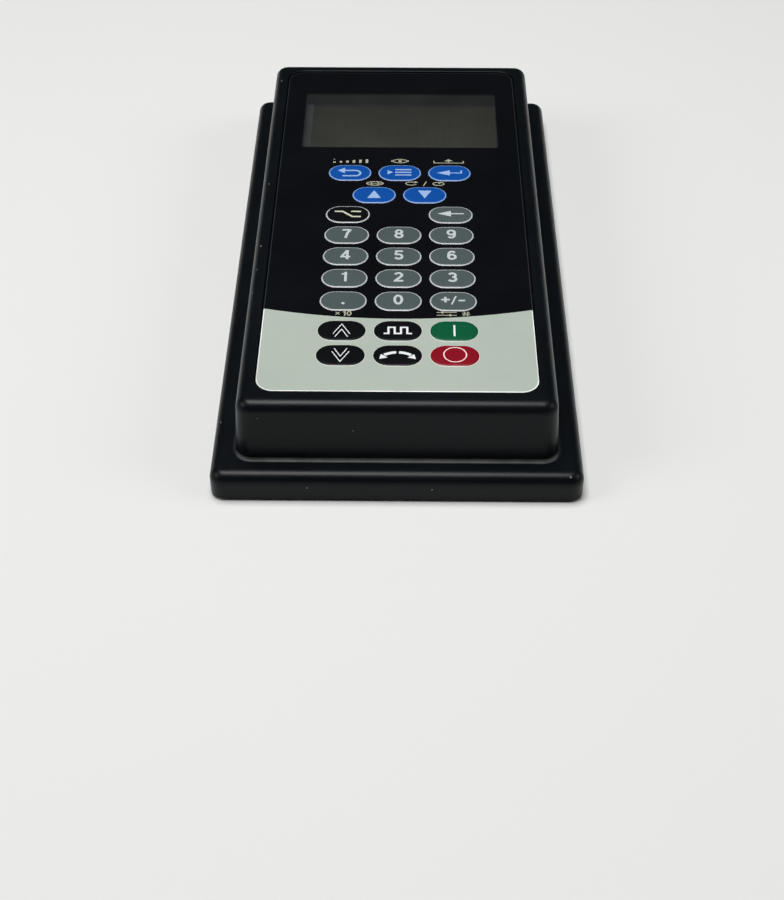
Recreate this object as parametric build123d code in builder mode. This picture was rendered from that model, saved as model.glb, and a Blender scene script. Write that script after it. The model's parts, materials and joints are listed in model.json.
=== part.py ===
"""Panel-mount drive keypad: a flanged black housing with a printed membrane keypad of 25 snap keys,
a display behind a clear lens, one circuit board, and a back plate with a round cable socket.

Frame: X to the right and Y up the keypad as its user sees it, Z out of its front.
The origin is under the middle of the keypad, on the plane that its panel gasket stands on."""

import os
from math import radians, tan

from build123d import *

os.makedirs("parts", exist_ok=True)

# Housing: a drafted body round the overlay, and a flange that lies on the panel
overlay_side_margin = 5.4
overlay_top_margin = 5.85
overlay_bottom_margin = 6.95
flange_side_reach = 6.1
flange_end_reach = 6.3
flange_height = 8.0
flange_corner_radius = 3.5
flange_edge_radius = 2.8
body_corner_radius = 4.5
body_draft = 3.5
body_edge_radius = 2.9
foot_fillet_radius = 0.8
side_wall = 2.5
front_wall = 2.2
rib_width = 1.5
rib_depth = 2.6
rib_count = 4
rib_inset = 4.0

# Gasket in the back of the flange
gasket_proud = 0.6
gasket_width = 3.0
groove_depth = 3.4
groove_outer_wall = 1.6
groove_clearance = 0.1

# Membrane keypad, from the overlay down to the floor of its recess
overlay_corner_radius = 4.5
overlay_clearance = 0.4
lip_height = 0.4
lip_edge_radius = 0.3
overlay_thickness = 0.3
spacer_thickness = 0.6
circuit_thickness = 0.3

# Keys: three columns, and rows in three groups
key_length = 12.3
key_width = 8.1
key_emboss = 0.25
key_bevel = 0.2
key_clearance = 0.15
column_gap = 2.1
row_gap = 1.8
menu_row_gap = 3.3
arrow_row_gap = 1.7
drive_row_gap = 4.3
dome_radius = 3.0
dome_top_radius = 1.2
dome_rim = 0.4
dome_sheet = 0.12
dome_gap = 0.03

# Display window, its margins on the overlay, and the display behind it
window_width = 58.3
window_length = 30.75
window_corner_radius = 1.0
window_side_margin = 5.85
window_top_margin = 12.95
window_keys_gap = 9.85
keys_bottom_margin = 9.85
lens_clearance = 0.1
lens_rebate = 2.0
lens_rebate_depth = 1.2
seal_thickness = 0.5
seal_width = 2.0
bezel_side_reach = 2.35
bezel_end_reach = 4.65
bezel_sheet = 0.5
view_left_inset = 4.5
view_right_inset = 2.6
view_end_inset = 4.6
glass_plate = 1.3
glass_ledge = 2.0
glass_clearance = 0.3
strip_width = 1.6
backlight_margin = 3.4
backlight_thickness = 4.0
tab_width = 2.4
tab_reach = 0.9
tab_inset = 9.5

# Circuit board
board_side_reach = 0.5
board_end_inset = 1.8
board_thickness = 1.6
board_room = 9.2
board_notch_clearance = 1.5
board_end_screw_inset = 14.0
board_side_screw_inset = 4.0
board_screw_edge = 2.7
board_boss_radius = 2.4
screw_radius = 1.2
board_screw_length = 6.0
screw_head_radius = 2.3
screw_head_height = 1.5
thread_clearance = 0.05
screw_hole_clearance = 0.3

# Fixing to the panel, and the back plate
panel_hole_side_inset = 6.9
panel_hole_end_inset = 6.7
panel_boss_radius = 4.2
insert_radius = 2.8
insert_bore_radius = 1.65
insert_length = 8.0
insert_clearance = 0.02
plate_seat = 1.6
plate_corner_radius = 3.0
plate_thickness = 2.0
plate_sink = 0.2
plate_clearance = 0.2
plate_screw_pitch = 48.0
plate_boss_radius = 2.8
plate_boss_clearance = 0.4
plate_screw_length = 10.0
plate_screw_head_radius = 2.4
plate_rib_height = 1.2
plate_rib_side_inset = 9.0
plate_rib_end_inset = 25.5

# Cable socket with eight contacts, in a round recess of the back plate
socket_x = -10.0
socket_y = -17.0
socket_width = 14.0
socket_length = 13.0
recess_radius = 8.0
recess_depth = 3.9
recess_wall = 1.2
socket_well_radius = 5.0
shield_wall = 0.3
socket_core_radius = 3.6
socket_core_sink = 0.5
socket_base = 0.8
socket_clearance = 0.03
socket_foot = 0.5
contact_radius = 0.42
contact_bore_radius = 0.25
contact_bore_depth = 4.0
contact_sink = 0.3
contact_tail_radius = 0.3
polarising_width = 2.2
polarising_depth = 1.0

# Flexible tail from the keys to the board
tail_width = 14.0
tail_thickness = 0.3
tail_inset = 5.0
tail_slot_width = 1.8
tail_bend_radius = 2.0
connector_width = 18.0
connector_length = 5.0
connector_height = 2.6
connector_slot_height = 0.8
connector_offset = 8.0

# Parts on the back of the board
capacitor_radius = 3.15
capacitor_height = 5.8
capacitor_base = 1.0
capacitor_pitch = 10.0
capacitor_x = -13.0
capacitor_end_inset = 19.5
passive_length = 2.0
passive_width = 1.25
passive_height = 0.6
passive_places = [(-8.0, 43.0), (10.0, -27.0)]
lead_pitch = 1.27
lead_width = 0.5
lead_reach = 0.8
lead_height = 0.6

# Heights that follow, from the gasket's face up to the lip round the overlay
rim_z = gasket_proud
plate_outer_z = rim_z + plate_sink
plate_inner_z = plate_outer_z + plate_thickness
board_back_z = plate_inner_z + board_room
board_front_z = board_back_z + board_thickness
glass_under_z = board_front_z + backlight_thickness
glass_middle_z = glass_under_z + glass_plate
glass_top_z = glass_middle_z + glass_plate
bezel_top_z = glass_top_z + bezel_sheet
ceiling_z = bezel_top_z + seal_thickness
recess_floor_z = ceiling_z + front_wall
circuit_top_z = recess_floor_z + circuit_thickness
overlay_under_z = circuit_top_z + spacer_thickness
overlay_top_z = overlay_under_z + overlay_thickness
overall_height = overlay_top_z + lip_height
tail_mouth_z = board_front_z + connector_height / 2
socket_face_z = plate_outer_z + recess_depth
socket_back_z = board_back_z - socket_foot

# Lengths and widths that follow, from the keys and the window out to the flange
column_pitch = key_length + column_gap
row_pitch = key_width + row_gap
arrow_row_drop = key_width + menu_row_gap
edit_row_drop = key_width + arrow_row_gap
drive_row_drop = key_width + drive_row_gap
keys_extent = key_width + arrow_row_drop + edit_row_drop + drive_row_drop + 5 * row_pitch
overlay_width = window_width + 2 * window_side_margin
overlay_length = window_top_margin + window_length + window_keys_gap + keys_extent + keys_bottom_margin
body_foot_width = overlay_width + 2 * overlay_side_margin
body_foot_length = overlay_length + overlay_top_margin + overlay_bottom_margin
flange_width = body_foot_width + 2 * flange_side_reach
flange_length = body_foot_length + 2 * flange_end_reach
cavity_grow = 2 * (flange_height - rim_z) * tan(radians(body_draft))
cavity_width = body_foot_width - 2 * side_wall + cavity_grow
cavity_length = body_foot_length - 2 * side_wall + cavity_grow
plate_width = cavity_width + 2 * plate_seat
plate_length = cavity_length + 2 * plate_seat
panel_hole_pitch_x = body_foot_width - 2 * panel_hole_side_inset
panel_hole_pitch_y = body_foot_length - 2 * panel_hole_end_inset
bezel_width = window_width + 2 * bezel_side_reach
bezel_length = window_length + 2 * bezel_end_reach
glass_width = bezel_width - 2 * (bezel_sheet + glass_clearance)
glass_length = bezel_length - 2 * (bezel_sheet + glass_clearance)
tab_pitch = bezel_width - 2 * tab_inset
board_width = bezel_width + 2 * board_side_reach
board_length = overlay_length - 2 * board_end_inset
board_notch_x = (board_width - panel_hole_pitch_x) / 2 + panel_boss_radius + board_notch_clearance
board_notch_y = (board_length - panel_hole_pitch_y) / 2 + panel_boss_radius + board_notch_clearance
rib_pitch = 2 * row_pitch
shield_radius = socket_well_radius - socket_clearance

# Places of the overlay, of the window and of the keys, from the top row down
columns = {"left": -column_pitch, "half_left": -column_pitch / 2, "middle": 0.0,
           "half_right": column_pitch / 2, "right": column_pitch}
overlay_y = (overlay_bottom_margin - overlay_top_margin) / 2
window_y = overlay_y + overlay_length / 2 - window_top_margin - window_length / 2
menu_row_y = window_y - window_length / 2 - window_keys_gap - key_width / 2
arrow_row_y = menu_row_y - arrow_row_drop
edit_row_y = arrow_row_y - edit_row_drop
zero_row_y = edit_row_y - 4 * row_pitch
run_row_y = zero_row_y - drive_row_drop
rows = {"menu": menu_row_y, "arrow": arrow_row_y, "edit": edit_row_y, "seven": edit_row_y - row_pitch,
        "four": edit_row_y - 2 * row_pitch, "one": edit_row_y - 3 * row_pitch, "zero": zero_row_y,
        "run": run_row_y, "stop": run_row_y - row_pitch}
key_layout = {
    "key_escape": ("left", "menu"), "key_select": ("middle", "menu"), "key_enter": ("right", "menu"),
    "key_up": ("half_left", "arrow"), "key_down": ("half_right", "arrow"),
    "key_alternate": ("left", "edit"), "key_backspace": ("right", "edit"),
    "key_7": ("left", "seven"), "key_8": ("middle", "seven"), "key_9": ("right", "seven"),
    "key_4": ("left", "four"), "key_5": ("middle", "four"), "key_6": ("right", "four"),
    "key_1": ("left", "one"), "key_2": ("middle", "one"), "key_3": ("right", "one"),
    "key_point": ("left", "zero"), "key_0": ("middle", "zero"), "key_sign": ("right", "zero"),
    "key_faster": ("left", "run"), "key_jog": ("middle", "run"), "key_start": ("right", "run"),
    "key_slower": ("left", "stop"), "key_reverse": ("middle", "stop"), "key_stop": ("right", "stop"),
}
key_places = {name: (columns[column], rows[row]) for name, (column, row) in key_layout.items()}

# Places of the screws, of the tail, and of the socket's contacts
board_end_x = board_width / 2 - board_end_screw_inset
board_end_y = board_length / 2 - board_screw_edge
board_side_x = board_width / 2 - board_side_screw_inset
board_screw_places = [(x, y) for x in (-board_end_x, board_end_x) for y in (-board_end_y, board_end_y)]
board_screw_places += [(-board_side_x, 0), (board_side_x, 0)]
plate_screw_x = board_width / 2 + plate_boss_radius + plate_boss_clearance
plate_end_screw_y = board_length / 2 + plate_boss_radius + plate_boss_clearance
plate_screw_places = [(x, y) for x in (-plate_screw_x, plate_screw_x)
                      for y in (-plate_screw_pitch / 2, plate_screw_pitch / 2)]
plate_screw_places += [(0, -plate_end_screw_y), (0, plate_end_screw_y)]
tail_y = overlay_y - overlay_length / 2 + tail_inset
connector_y = tail_y + connector_offset
contact_offsets = [(-1.3, 2.1), (1.3, 2.1), (-2.5, 0.2), (0, 0.2), (2.5, 0.2),
                   (-1.9, -1.9), (0, -2.2), (1.9, -1.9)]
contact_places = [(socket_x + x, socket_y + y) for x, y in contact_offsets]

# Front housing: the flange with its rounded top edge, and the drafted body with a small foot fillet
with BuildPart() as front_housing:
    with BuildSketch(Plane.XY.offset(rim_z)):
        RectangleRounded(flange_width, flange_length, flange_corner_radius)
    extrude(amount=flange_height - rim_z)
    fillet(front_housing.edges().group_by(Axis.Z)[-1], flange_edge_radius)
    with BuildSketch(Plane.XY.offset(flange_height)):
        RectangleRounded(body_foot_width, body_foot_length, body_corner_radius)
    extrude(amount=overall_height - flange_height, taper=body_draft)
    fillet(front_housing.edges().group_by(Axis.Z)[-1], body_edge_radius)
    foot_reach_x = (flange_width / 2 - flange_edge_radius + body_foot_width / 2) / 2
    foot_reach_y = (flange_length / 2 - flange_edge_radius + body_foot_length / 2) / 2
    foot_edges = front_housing.edges().filter_by_position(Axis.Z, flange_height, flange_height)
    foot_edges = foot_edges.filter_by_position(Axis.X, -foot_reach_x, foot_reach_x)
    foot_edges = foot_edges.filter_by_position(Axis.Y, -foot_reach_y, foot_reach_y)
    fillet(foot_edges, foot_fillet_radius)

    # Hollow from the back, with the body's own draft, and a rebate for the back plate
    with BuildSketch(Plane.XY.offset(rim_z)):
        RectangleRounded(cavity_width, cavity_length, body_corner_radius - side_wall / 2)
    extrude(amount=ceiling_z - rim_z, taper=body_draft, mode=Mode.SUBTRACT)
    with BuildSketch(Plane.XY.offset(rim_z)):
        RectangleRounded(plate_width + 2 * plate_clearance, plate_length + 2 * plate_clearance,
                         plate_corner_radius + plate_clearance)
    extrude(amount=plate_sink + plate_thickness, mode=Mode.SUBTRACT)

    # Groove for the gasket
    with BuildSketch(Plane.XY.offset(rim_z)):
        RectangleRounded(flange_width - 2 * groove_outer_wall, flange_length - 2 * groove_outer_wall,
                         flange_corner_radius - groove_outer_wall)
        offset(amount=-gasket_width - 2 * groove_clearance, kind=Kind.INTERSECTION, mode=Mode.SUBTRACT)
    extrude(amount=groove_depth, mode=Mode.SUBTRACT)

    # Bosses for the panel inserts, each tied to both walls by a rib, and bosses for the back plate
    with BuildSketch(Plane.XY.offset(rim_z)):
        with GridLocations(panel_hole_pitch_x, panel_hole_pitch_y, 2, 2):
            Circle(panel_boss_radius)
    extrude(amount=ceiling_z - rim_z)
    wall_middle_x = (body_foot_width - side_wall) / 2
    wall_middle_y = (body_foot_length - side_wall) / 2
    with BuildSketch(Plane.XY.offset(plate_inner_z)):
        with Locations(*plate_screw_places):
            Circle(plate_boss_radius)
        with GridLocations(panel_hole_pitch_x / 2 + wall_middle_x, panel_hole_pitch_y, 2, 2):
            Rectangle(wall_middle_x - panel_hole_pitch_x / 2, rib_width)
        with GridLocations(panel_hole_pitch_x, panel_hole_pitch_y / 2 + wall_middle_y, 2, 2):
            Rectangle(rib_width, wall_middle_y - panel_hole_pitch_y / 2)
    extrude(amount=ceiling_z - plate_inner_z)

    # Bosses for the board, and ribs that stiffen the wall under the keys
    with BuildSketch(Plane.XY.offset(board_front_z)):
        with Locations(*board_screw_places):
            Circle(board_boss_radius)
    extrude(amount=ceiling_z - board_front_z)
    ribs_middle_y = (edit_row_y + run_row_y) / 2
    with BuildSketch(Plane.XY.offset(ceiling_z)):
        with Locations((0, ribs_middle_y)):
            with GridLocations(0, rib_pitch, 1, rib_count):
                Rectangle(overlay_width - 2 * rib_inset, rib_width)
            with GridLocations(2 * column_pitch, 0, 2, 1):
                Rectangle(rib_width, rib_pitch * (rib_count - 1))
    extrude(amount=-rib_depth)

    # Blind holes for the inserts, the plate screws and the board screws
    with BuildSketch(Plane.XY.offset(rim_z)):
        with GridLocations(panel_hole_pitch_x, panel_hole_pitch_y, 2, 2):
            Circle(insert_radius + insert_clearance)
    extrude(amount=insert_length, mode=Mode.SUBTRACT)
    with BuildSketch(Plane.XY.offset(plate_inner_z)):
        with Locations(*plate_screw_places):
            Circle(screw_radius + thread_clearance)
    extrude(amount=plate_screw_length - plate_thickness + thread_clearance, mode=Mode.SUBTRACT)
    with BuildSketch(Plane.XY.offset(board_front_z)):
        with Locations(*board_screw_places):
            Circle(screw_radius + thread_clearance)
    extrude(amount=board_screw_length - board_thickness + thread_clearance, mode=Mode.SUBTRACT)

    # Recess for the membrane keypad, rebate for the lens, opening for the display, slot for the tail
    with BuildSketch(Plane.XY.offset(recess_floor_z)):
        with Locations((0, overlay_y)):
            RectangleRounded(overlay_width + 2 * overlay_clearance, overlay_length + 2 * overlay_clearance,
                             overlay_corner_radius + overlay_clearance)
    extrude(amount=overall_height - recess_floor_z, mode=Mode.SUBTRACT)
    lip_reach_x = (overlay_width + body_foot_width) / 4
    lip_reach_y = (overlay_length + body_foot_length) / 4
    lip_edges = front_housing.edges().group_by(Axis.Z)[-1].filter_by_position(Axis.X, -lip_reach_x, lip_reach_x)
    lip_edges = lip_edges.filter_by_position(Axis.Y, overlay_y - lip_reach_y, overlay_y + lip_reach_y)
    fillet(lip_edges, lip_edge_radius)
    with BuildSketch(Plane.XY.offset(recess_floor_z)):
        with Locations((0, window_y)):
            RectangleRounded(window_width + 2 * lens_rebate, window_length + 2 * lens_rebate,
                             window_corner_radius + lens_rebate)
    extrude(amount=-lens_rebate_depth, mode=Mode.SUBTRACT)
    with BuildSketch(Plane.XY.offset(recess_floor_z)):
        with Locations((0, window_y)):
            RectangleRounded(window_width, window_length, window_corner_radius)
        with Locations((0, tail_y)):
            SlotOverall(tail_width + tail_slot_width, tail_slot_width)
    extrude(amount=-front_wall, mode=Mode.SUBTRACT)
front_housing.part.label = "front_housing"
export_step(front_housing.part, "parts/front_housing.step")

# Gasket: one ring of soft rubber, proud of the flange
gasket_inset = groove_outer_wall + groove_clearance
with BuildPart() as panel_gasket:
    with BuildSketch():
        RectangleRounded(flange_width - 2 * gasket_inset, flange_length - 2 * gasket_inset,
                         flange_corner_radius - gasket_inset)
        offset(amount=-gasket_width, kind=Kind.INTERSECTION, mode=Mode.SUBTRACT)
    extrude(amount=gasket_proud + groove_depth)
panel_gasket.part.label = "panel_gasket"
export_step(panel_gasket.part, "parts/panel_gasket.step")

# Threaded brass inserts that the panel's screws go into
with BuildPart() as threaded_inserts:
    with BuildSketch(Plane.XY.offset(rim_z)):
        with GridLocations(panel_hole_pitch_x, panel_hole_pitch_y, 2, 2):
            Circle(insert_radius)
            Circle(insert_bore_radius, mode=Mode.SUBTRACT)
    extrude(amount=insert_length)
threaded_inserts.part.label = "threaded_inserts"
export_step(threaded_inserts.part, "parts/threaded_inserts.step")

# Overlay: the printed face, open at each key and at the window
with BuildPart() as overlay:
    with BuildSketch(Plane.XY.offset(overlay_under_z)):
        with Locations((0, overlay_y)):
            RectangleRounded(overlay_width, overlay_length, overlay_corner_radius)
        with Locations((0, window_y)):
            RectangleRounded(window_width, window_length, window_corner_radius, mode=Mode.SUBTRACT)
        with Locations(*key_places.values()):
            SlotOverall(key_length + 2 * key_clearance, key_width + 2 * key_clearance, mode=Mode.SUBTRACT)
    extrude(amount=overlay_thickness)
overlay.part.label = "overlay"
export_step(overlay.part, "parts/overlay.step")

# Keys: the embossed fields of the overlay, each free to go down on its dome
for key_name, key_place in key_places.items():
    with BuildPart() as key:
        with BuildSketch(Plane.XY.offset(overlay_under_z)):
            with Locations(key_place):
                SlotOverall(key_length, key_width)
        extrude(amount=overlay_thickness + key_emboss)
        chamfer(key.edges().group_by(Axis.Z)[-1], key_bevel)
    key.part.label = key_name
    export_step(key.part, f"parts/{key_name}.step")

# Spacer film with a pocket under each key
with BuildPart() as key_spacer:
    with BuildSketch(Plane.XY.offset(circuit_top_z)):
        with Locations((0, overlay_y)):
            RectangleRounded(overlay_width, overlay_length, overlay_corner_radius)
        with Locations((0, window_y)):
            RectangleRounded(window_width, window_length, window_corner_radius, mode=Mode.SUBTRACT)
        with Locations(*key_places.values()):
            Rectangle(key_length + 2 * key_clearance, key_width + 2 * key_clearance, mode=Mode.SUBTRACT)
    extrude(amount=spacer_thickness)
key_spacer.part.label = "key_spacer"
export_step(key_spacer.part, "parts/key_spacer.step")

# Snap domes: thin shells of sprung steel with flat crowns, one under each key
dome_crown_z = overlay_under_z - dome_gap
with BuildPart() as snap_dome:
    with BuildSketch(Plane.XZ):
        with BuildLine():
            Polyline((dome_radius, circuit_top_z), (dome_top_radius, dome_crown_z), (0, dome_crown_z),
                     (0, dome_crown_z - dome_sheet), (dome_top_radius, dome_crown_z - dome_sheet),
                     (dome_radius - dome_rim, circuit_top_z), close=True)
        make_face()
    revolve(axis=Axis.Z)
with BuildPart() as snap_domes:
    with Locations(*key_places.values()):
        add(snap_dome.part)
snap_domes.part.label = "snap_domes"
export_step(snap_domes.part, "parts/snap_domes.step")

# Circuit film with the key contacts, and its tail down through the housing to the board
with BuildPart() as switch_circuit:
    with BuildSketch(Plane.XY.offset(recess_floor_z)):
        with Locations((0, overlay_y)):
            RectangleRounded(overlay_width, overlay_length, overlay_corner_radius)
        with Locations((0, window_y)):
            RectangleRounded(window_width, window_length, window_corner_radius, mode=Mode.SUBTRACT)
    extrude(amount=circuit_thickness)
    with BuildSketch(Plane.YZ):
        with BuildLine():
            FilletPolyline((tail_y, recess_floor_z + circuit_thickness / 2), (tail_y, tail_mouth_z),
                           (connector_y - connector_length / 4, tail_mouth_z), radius=tail_bend_radius)
        trace(line_width=tail_thickness)
    extrude(amount=tail_width / 2, both=True)
switch_circuit.part.label = "switch_circuit"
export_step(switch_circuit.part, "parts/switch_circuit.step")

# Lens: clear, stepped, level with the overlay and seated in the housing's rebate
lens_step = lens_rebate - lens_clearance
with BuildPart() as display_lens:
    with BuildSketch(Plane.XY.offset(recess_floor_z - lens_rebate_depth)):
        with Locations((0, window_y)):
            RectangleRounded(window_width + 2 * lens_step, window_length + 2 * lens_step,
                             window_corner_radius + lens_step)
    extrude(amount=lens_rebate_depth)
    with BuildSketch(Plane.XY.offset(recess_floor_z)):
        with Locations((0, window_y)):
            RectangleRounded(window_width - 2 * lens_clearance, window_length - 2 * lens_clearance,
                             window_corner_radius - lens_clearance)
    extrude(amount=overlay_top_z - recess_floor_z)
display_lens.part.label = "display_lens"
export_step(display_lens.part, "parts/display_lens.step")

# Foam seal between the housing and the display
with BuildPart() as display_seal:
    with BuildSketch(Plane.XY.offset(bezel_top_z)):
        with Locations((0, window_y)):
            Rectangle(bezel_width, bezel_length)
            Rectangle(bezel_width - 2 * seal_width, bezel_length - 2 * seal_width, mode=Mode.SUBTRACT)
    extrude(amount=seal_thickness)
display_seal.part.label = "display_seal"
export_step(display_seal.part, "parts/display_seal.step")

# Display bezel: a folded steel frame with four tabs through the board
with BuildPart() as display_bezel:
    with BuildSketch(Plane.XY.offset(board_front_z)):
        with Locations((0, window_y)):
            Rectangle(bezel_width, bezel_length)
    extrude(amount=bezel_top_z - board_front_z)
    fillet(display_bezel.edges().filter_by(Axis.Z), bezel_sheet)
    with BuildSketch(Plane.XY.offset(board_front_z)):
        with Locations((0, window_y)):
            Rectangle(bezel_width - 2 * bezel_sheet, bezel_length - 2 * bezel_sheet)
    extrude(amount=glass_top_z - board_front_z, mode=Mode.SUBTRACT)
    with BuildSketch(Plane.XY.offset(glass_top_z)):
        with Locations(((view_left_inset - view_right_inset) / 2, window_y)):
            Rectangle(bezel_width - view_left_inset - view_right_inset, bezel_length - 2 * view_end_inset)
    extrude(amount=bezel_sheet, mode=Mode.SUBTRACT)
    with BuildSketch(Plane.XY.offset(board_front_z)):
        with Locations((0, window_y)):
            with GridLocations(tab_pitch, bezel_length - bezel_sheet, 2, 2):
                Rectangle(tab_width, bezel_sheet)
    extrude(amount=-board_thickness - tab_reach)
display_bezel.part.label = "display_bezel"
export_step(display_bezel.part, "parts/display_bezel.step")

# Display glass: two plates, the lower one longer for its contacts
with BuildPart() as display_glass:
    with BuildSketch(Plane.XY.offset(glass_under_z)):
        with Locations((0, window_y)):
            Rectangle(glass_width, glass_length)
    extrude(amount=glass_plate)
    with BuildSketch(Plane.XY.offset(glass_middle_z)):
        with Locations((0, window_y)):
            Rectangle(glass_width, glass_length - 2 * glass_ledge)
    extrude(amount=glass_plate)
display_glass.part.label = "display_glass"
export_step(display_glass.part, "parts/display_glass.step")

# Rubber contact strips that carry the ends of the glass
with BuildPart() as contact_strips:
    with BuildSketch(Plane.XY.offset(board_front_z)):
        with Locations((0, window_y)):
            with GridLocations(0, glass_length - strip_width, 1, 2):
                Rectangle(glass_width, strip_width)
    extrude(amount=glass_under_z - board_front_z)
contact_strips.part.label = "contact_strips"
export_step(contact_strips.part, "parts/contact_strips.step")

# Backlight between the strips
with BuildPart() as backlight:
    with BuildSketch(Plane.XY.offset(board_front_z)):
        with Locations((0, window_y)):
            RectangleRounded(bezel_width - 2 * backlight_margin, bezel_length - 2 * backlight_margin,
                             bezel_sheet)
    extrude(amount=glass_under_z - board_front_z)
backlight.part.label = "backlight"
export_step(backlight.part, "parts/backlight.step")

# Board, notched at the panel bosses, with holes for its screws and for the bezel's tabs
with BuildPart() as main_board:
    with BuildSketch(Plane.XY.offset(board_back_z)):
        Rectangle(board_width, board_length)
        with GridLocations(board_width - board_notch_x, board_length - board_notch_y, 2, 2):
            Rectangle(board_notch_x, board_notch_y, mode=Mode.SUBTRACT)
        with Locations(*board_screw_places):
            Circle(screw_radius + screw_hole_clearance, mode=Mode.SUBTRACT)
        with Locations((0, window_y)):
            with GridLocations(tab_pitch, bezel_length - bezel_sheet, 2, 2):
                Rectangle(tab_width + 2 * screw_hole_clearance, bezel_sheet + 2 * screw_hole_clearance,
                          mode=Mode.SUBTRACT)
    extrude(amount=board_thickness)
main_board.part.label = "main_board"
export_step(main_board.part, "parts/main_board.step")

# Screws that hold the board, in from the back
with BuildPart() as board_screws:
    with BuildSketch(Plane.XY.offset(board_back_z)):
        with Locations(*board_screw_places):
            Circle(screw_head_radius)
    extrude(amount=-screw_head_height)
    with BuildSketch(Plane.XY.offset(board_back_z)):
        with Locations(*board_screw_places):
            Circle(screw_radius)
    extrude(amount=board_screw_length)
board_screws.part.label = "board_screws"
export_step(board_screws.part, "parts/board_screws.step")

# Connector that takes the tail
with BuildPart() as tail_connector:
    with BuildSketch(Plane.XY.offset(board_front_z)):
        with Locations((0, connector_y)):
            Rectangle(connector_width, connector_length)
    extrude(amount=connector_height)
    with BuildSketch(Plane.XY.offset(tail_mouth_z - connector_slot_height / 2)):
        with Locations((0, connector_y - connector_length / 4)):
            Rectangle(tail_width + 2 * connector_slot_height, connector_length)
    extrude(amount=connector_slot_height, mode=Mode.SUBTRACT)
tail_connector.part.label = "tail_connector"
export_step(tail_connector.part, "parts/tail_connector.step")

# Packages on the back of the board: place, width, length, height, and the sides that have leads
packages = {
    "processor": ((-8.0, 28.0), 14.0, 14.0, 1.6, 4),
    "memory_chip": ((14.0, 30.0), 7.5, 11.0, 1.8, 2),
    "link_chip": ((14.0, -14.0), 5.0, 5.0, 1.6, 2),
    "regulator": ((16.0, -40.0), 6.6, 6.6, 2.3, 2),
    "choke": ((-16.0, -40.0), 7.0, 7.0, 3.2, 0),
    "crystal": ((-8.0, 10.0), 11.0, 4.6, 3.4, 0),
}
for package_name, (place, width, length, height, leaded_sides) in packages.items():
    with BuildPart() as package:
        with BuildSketch(Plane.XY.offset(board_back_z)):
            with Locations(place):
                RectangleRounded(width, length, width / 12)
        extrude(amount=-height)
        chamfer(package.edges().group_by(Axis.Z)[0], height / 8)
        if leaded_sides:
            lead_count = int(length / lead_pitch) - 1
            with BuildSketch(Plane.XY.offset(board_back_z)):
                with Locations(place):
                    with GridLocations(width + lead_reach, lead_pitch, 2, lead_count):
                        Rectangle(2 * lead_reach, lead_width)
                    if leaded_sides == 4:
                        with GridLocations(lead_pitch, length + lead_reach, lead_count, 2):
                            Rectangle(lead_width, 2 * lead_reach)
            extrude(amount=-lead_height)
    package.part.label = package_name
    export_step(package.part, f"parts/{package_name}.step")

# Capacitors: cans on square bases
capacitor_place = (capacitor_x, capacitor_end_inset - board_length / 2)
with BuildPart() as capacitors:
    with BuildSketch(Plane.XY.offset(board_back_z)):
        with Locations(capacitor_place):
            with GridLocations(capacitor_pitch, 0, 2, 1):
                RectangleRounded(2 * capacitor_radius, 2 * capacitor_radius, capacitor_radius / 4)
    extrude(amount=-capacitor_base)
    with BuildSketch(Plane.XY.offset(board_back_z - capacitor_base)):
        with Locations(capacitor_place):
            with GridLocations(capacitor_pitch, 0, 2, 1):
                Circle(capacitor_radius)
    extrude(amount=capacitor_base - capacitor_height)
capacitors.part.label = "capacitors"
export_step(capacitors.part, "parts/capacitors.step")

# Chip resistors and capacitors, in two groups
with BuildPart() as chip_passives:
    with BuildSketch(Plane.XY.offset(board_back_z)):
        with Locations(*passive_places):
            with GridLocations(2 * passive_length, 2 * passive_width, 4, 2):
                Rectangle(passive_length, passive_width)
    extrude(amount=-passive_height)
chip_passives.part.label = "chip_passives"
export_step(chip_passives.part, "parts/chip_passives.step")

# Socket body: a block with a round bore, on two feet
with BuildPart() as socket_body:
    with BuildSketch(Plane.XY.offset(socket_face_z)):
        with Locations((socket_x, socket_y)):
            RectangleRounded(socket_width, socket_length, socket_base)
    extrude(amount=socket_back_z - socket_face_z)
    with BuildSketch(Plane.XY.offset(socket_back_z)):
        with Locations((socket_x, socket_y)):
            with GridLocations(socket_width - 3 * socket_foot, 0, 2, 1):
                Rectangle(2 * socket_foot, socket_length - 2 * socket_foot)
    extrude(amount=socket_foot)
    with BuildSketch(Plane.XY.offset(socket_face_z)):
        with Locations((socket_x, socket_y)):
            Circle(socket_well_radius)
    extrude(amount=socket_back_z - socket_face_z, mode=Mode.SUBTRACT)
socket_body.part.label = "socket_body"
export_step(socket_body.part, "parts/socket_body.step")

# Socket core: a base disc that closes the bore, and a keyed post with a hole for each contact
with BuildPart() as socket_core:
    with BuildSketch(Plane.XY.offset(socket_back_z - socket_base)):
        with Locations((socket_x, socket_y)):
            Circle(shield_radius)
    extrude(amount=socket_base)
    with BuildSketch(Plane.XY.offset(socket_face_z + socket_core_sink)):
        with Locations((socket_x, socket_y)):
            Circle(socket_core_radius)
        with Locations((socket_x, socket_y + socket_core_radius)):
            Rectangle(polarising_width, 2 * polarising_depth, mode=Mode.SUBTRACT)
    extrude(amount=socket_back_z - socket_base - socket_face_z - socket_core_sink)
    with BuildSketch(Plane.XY.offset(socket_face_z + socket_core_sink)):
        with Locations(*contact_places):
            Circle(contact_radius + socket_clearance)
    extrude(amount=socket_back_z - socket_face_z - socket_core_sink, mode=Mode.SUBTRACT)
socket_core.part.label = "socket_core"
export_step(socket_core.part, "parts/socket_core.step")

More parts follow.
